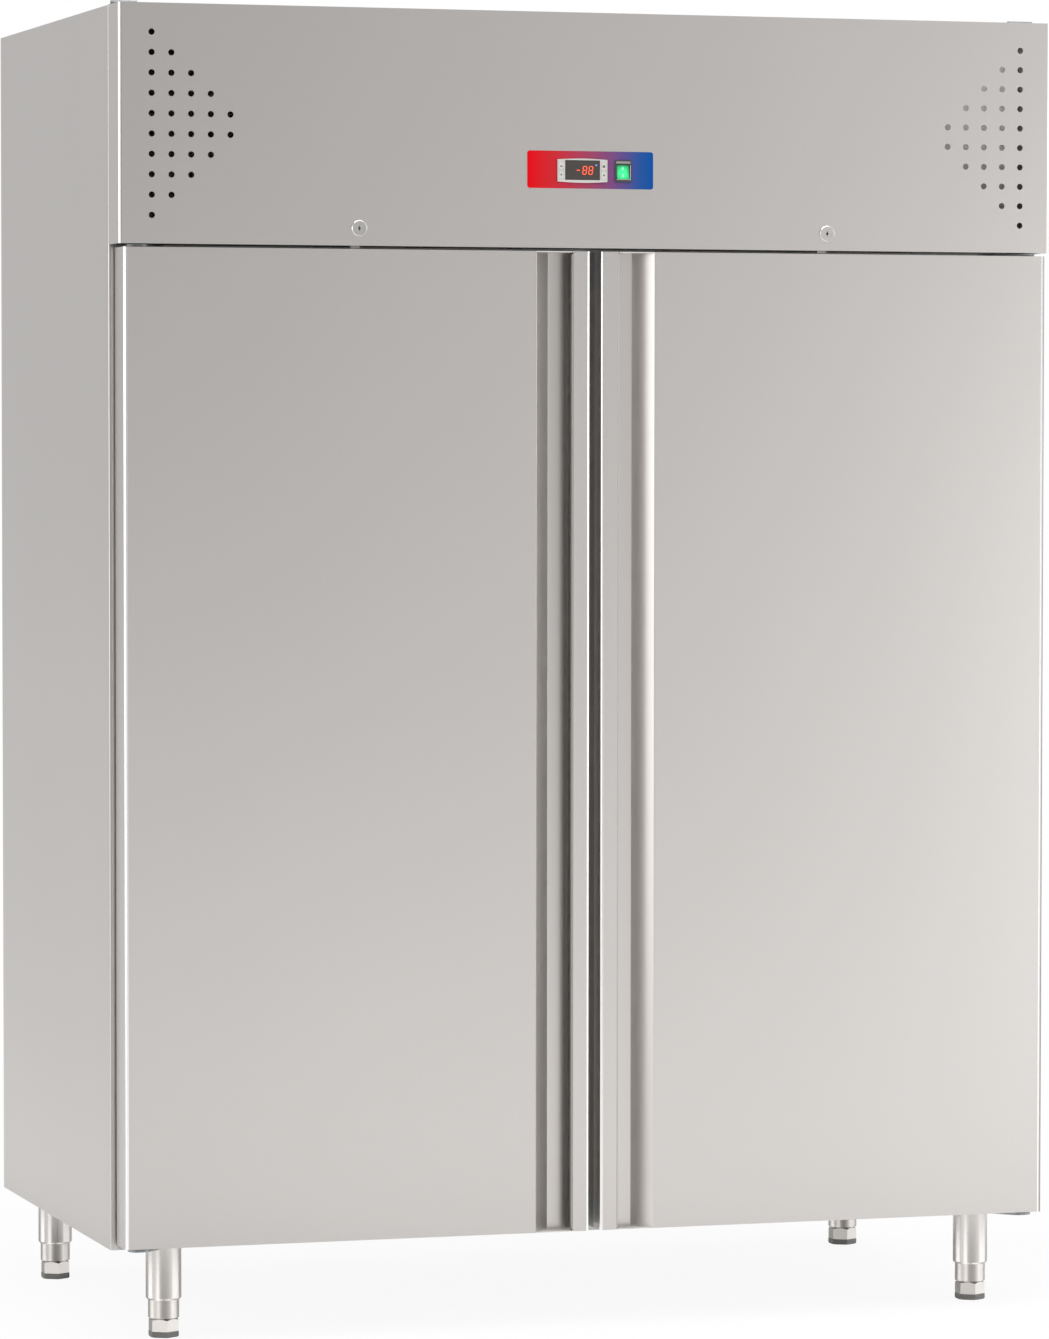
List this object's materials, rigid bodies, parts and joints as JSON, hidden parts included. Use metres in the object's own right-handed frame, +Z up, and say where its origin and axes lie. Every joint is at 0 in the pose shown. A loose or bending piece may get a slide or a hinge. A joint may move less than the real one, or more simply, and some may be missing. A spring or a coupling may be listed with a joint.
{
  "type": "two-door upright commercial refrigerator",
  "caption": "Upright stainless refrigerator on adjustable legs, double doors with full-height folded grip channels and a lift-up control fascia.",
  "frame": {"origin": "on the floor, under the middle of the overall box", "axes": "+X to the right seen from the front, +Y from the doors to the back, +Z up"},
  "size_m": [1.48, 0.8306, 2.002],
  "materials": {
    "satin_steel": "satin",
    "zinc_steel": "satin",
    "insulation": "matte",
    "label_print": "gloss",
    "grey_plastic": "satin",
    "window_plastic": "gloss",
    "black_plastic": "satin",
    "green_plastic": "gloss",
    "chrome_trim": "polished",
    "dark_rubber": "matte",
    "black_enamel": "satin",
    "fin_aluminium": "satin",
    "white_plastic": "satin",
    "copper_pipe": "satin",
    "coated_wire": "satin"
  },
  "bodies": {
    "cabinet": {"side_panel_left": "satin_steel", "side_panel_right": "satin_steel", "back_panel": "satin_steel", "base_panel": "satin_steel", "inner_liner": "satin_steel", "front_frame": "satin_steel", "centre_post": "satin_steel", "rear_grille": "satin_steel", "leg_sleeves": "satin_steel", "shelf_uprights": "satin_steel", "shelf_runners": "satin_steel", "evaporator_cover": "satin_steel", "top_deck": "zinc_steel", "fascia_hinge_bases": "zinc_steel", "door_hinge_brackets": "zinc_steel", "condenser_shroud": "zinc_steel", "electrical_box": "zinc_steel", "case_rivets": "zinc_steel", "cabinet_insulation": "insulation", "cable_gland": "black_plastic", "compressor": "black_enamel", "fan_motors": "black_enamel", "condenser_coil": "fin_aluminium", "evaporator_coil": "fin_aluminium", "refrigerant_pipes": "copper_pipe", "shelves_left": "coated_wire", "shelves_right": "coated_wire"},
    "fascia": {"fascia_panel": "satin_steel", "fascia_hinge_leaves": "zinc_steel", "control_label": "label_print", "controller_housing": "grey_plastic", "controller_window": "window_plastic", "rocker_frame": "black_plastic", "lock_housings": "chrome_trim"},
    "left_door": {"door_skin_left": "satin_steel", "door_liner_left": "satin_steel", "door_foam_left": "insulation", "door_gasket_left": "dark_rubber", "door_caps_left": "zinc_steel"},
    "right_door": {"door_skin_right": "satin_steel", "door_liner_right": "satin_steel", "door_foam_right": "insulation", "door_gasket_right": "dark_rubber", "door_caps_right": "zinc_steel"},
    "up_key": {"key_up": "grey_plastic"},
    "down_key": {"key_down": "grey_plastic"},
    "set_key": {"key_set": "grey_plastic"},
    "defrost_key": {"key_defrost": "grey_plastic"},
    "rocker": {"rocker_button": "green_plastic"},
    "left_lock_barrel": {"lock_barrel_left": "chrome_trim"},
    "right_lock_barrel": {"lock_barrel_right": "chrome_trim"},
    "left_lock_bolt": {"lock_bolt_left": "zinc_steel"},
    "right_lock_bolt": {"lock_bolt_right": "zinc_steel"},
    "condenser_fan_wheel": {"condenser_fan": "black_plastic"},
    "left_evaporator_fan": {"evaporator_fan_left": "white_plastic"},
    "right_evaporator_fan": {"evaporator_fan_right": "white_plastic"},
    "front_left_foot": {"foot_front_left": "zinc_steel"},
    "front_right_foot": {"foot_front_right": "zinc_steel"},
    "back_left_foot": {"foot_back_left": "zinc_steel"},
    "back_right_foot": {"foot_back_right": "zinc_steel"}
  },
  "joints": [
    {"name": "left_door_hinge", "type": "hinge", "parent": "cabinet", "child": "left_door", "pos_m": [-0.711, -0.38775, 0.146], "axis": [0, 0, -1], "range_deg": [0, 110]},
    {"name": "right_door_hinge", "type": "hinge", "parent": "cabinet", "child": "right_door", "pos_m": [0.711, -0.38775, 0.146], "axis": [0, 0, 1], "range_deg": [0, 110]},
    {"name": "fascia_lift", "type": "hinge", "parent": "cabinet", "child": "fascia", "pos_m": [0, -0.34575, 1.9985], "axis": [-1, 0, 0], "range_deg": [0, 75]},
    {"name": "up_key_press", "type": "slide", "parent": "fascia", "child": "up_key", "axis": [0, 1, 0], "range_m": [0, 0.0008], "stiffness_N_per_m": 900},
    {"name": "down_key_press", "type": "slide", "parent": "fascia", "child": "down_key", "axis": [0, 1, 0], "range_m": [0, 0.0008], "stiffness_N_per_m": 900},
    {"name": "set_key_press", "type": "slide", "parent": "fascia", "child": "set_key", "axis": [0, 1, 0], "range_m": [0, 0.0008], "stiffness_N_per_m": 900},
    {"name": "defrost_key_press", "type": "slide", "parent": "fascia", "child": "defrost_key", "axis": [0, 1, 0], "range_m": [0, 0.0008], "stiffness_N_per_m": 900},
    {"name": "rocker_tip", "type": "hinge", "parent": "fascia", "child": "rocker", "pos_m": [0.043, -0.40875, 1.7547], "axis": [1, 0, 0], "range_deg": [0, 16]},
    {"name": "left_lock_turn", "type": "hinge", "parent": "fascia", "child": "left_lock_barrel", "pos_m": [-0.372, -0.41275, 1.666], "axis": [0, 1, 0], "range_deg": [0, 90]},
    {"name": "left_bolt_slide", "type": "slide", "parent": "fascia", "child": "left_lock_bolt", "axis": [0, 0, -1], "range_m": [0, 0.01]},
    {"name": "right_lock_turn", "type": "hinge", "parent": "fascia", "child": "right_lock_barrel", "pos_m": [0.372, -0.41275, 1.666], "axis": [0, 1, 0], "range_deg": [0, 90]},
    {"name": "right_bolt_slide", "type": "slide", "parent": "fascia", "child": "right_lock_bolt", "axis": [0, 0, -1], "range_m": [0, 0.01]},
    {"name": "condenser_fan_spin", "type": "hinge", "parent": "cabinet", "child": "condenser_fan_wheel", "pos_m": [0.29, -0.22875, 1.81], "axis": [0, 1, 0], "continuous": true},
    {"name": "left_evaporator_fan_spin", "type": "hinge", "parent": "cabinet", "child": "left_evaporator_fan", "pos_m": [-0.27, 0.13725, 1.47], "axis": [0, 0, 1], "continuous": true},
    {"name": "right_evaporator_fan_spin", "type": "hinge", "parent": "cabinet", "child": "right_evaporator_fan", "pos_m": [0.27, 0.13725, 1.47], "axis": [0, 0, 1], "continuous": true},
    {"name": "front_left_foot_screw", "type": "slide", "parent": "cabinet", "child": "front_left_foot", "axis": [0, 0, -1], "range_m": [0, 0.03]},
    {"name": "front_right_foot_screw", "type": "slide", "parent": "cabinet", "child": "front_right_foot", "axis": [0, 0, -1], "range_m": [0, 0.03]},
    {"name": "back_left_foot_screw", "type": "slide", "parent": "cabinet", "child": "back_left_foot", "axis": [0, 0, -1], "range_m": [0, 0.03]},
    {"name": "back_right_foot_screw", "type": "slide", "parent": "cabinet", "child": "back_right_foot", "axis": [0, 0, -1], "range_m": [0, 0.03]}
  ],
  "couplings": [
    {"joint": "left_bolt_slide", "follows": "left_lock_turn", "m_per_rad": 0.006366},
    {"joint": "right_bolt_slide", "follows": "right_lock_turn", "m_per_rad": 0.006366}
  ]
}
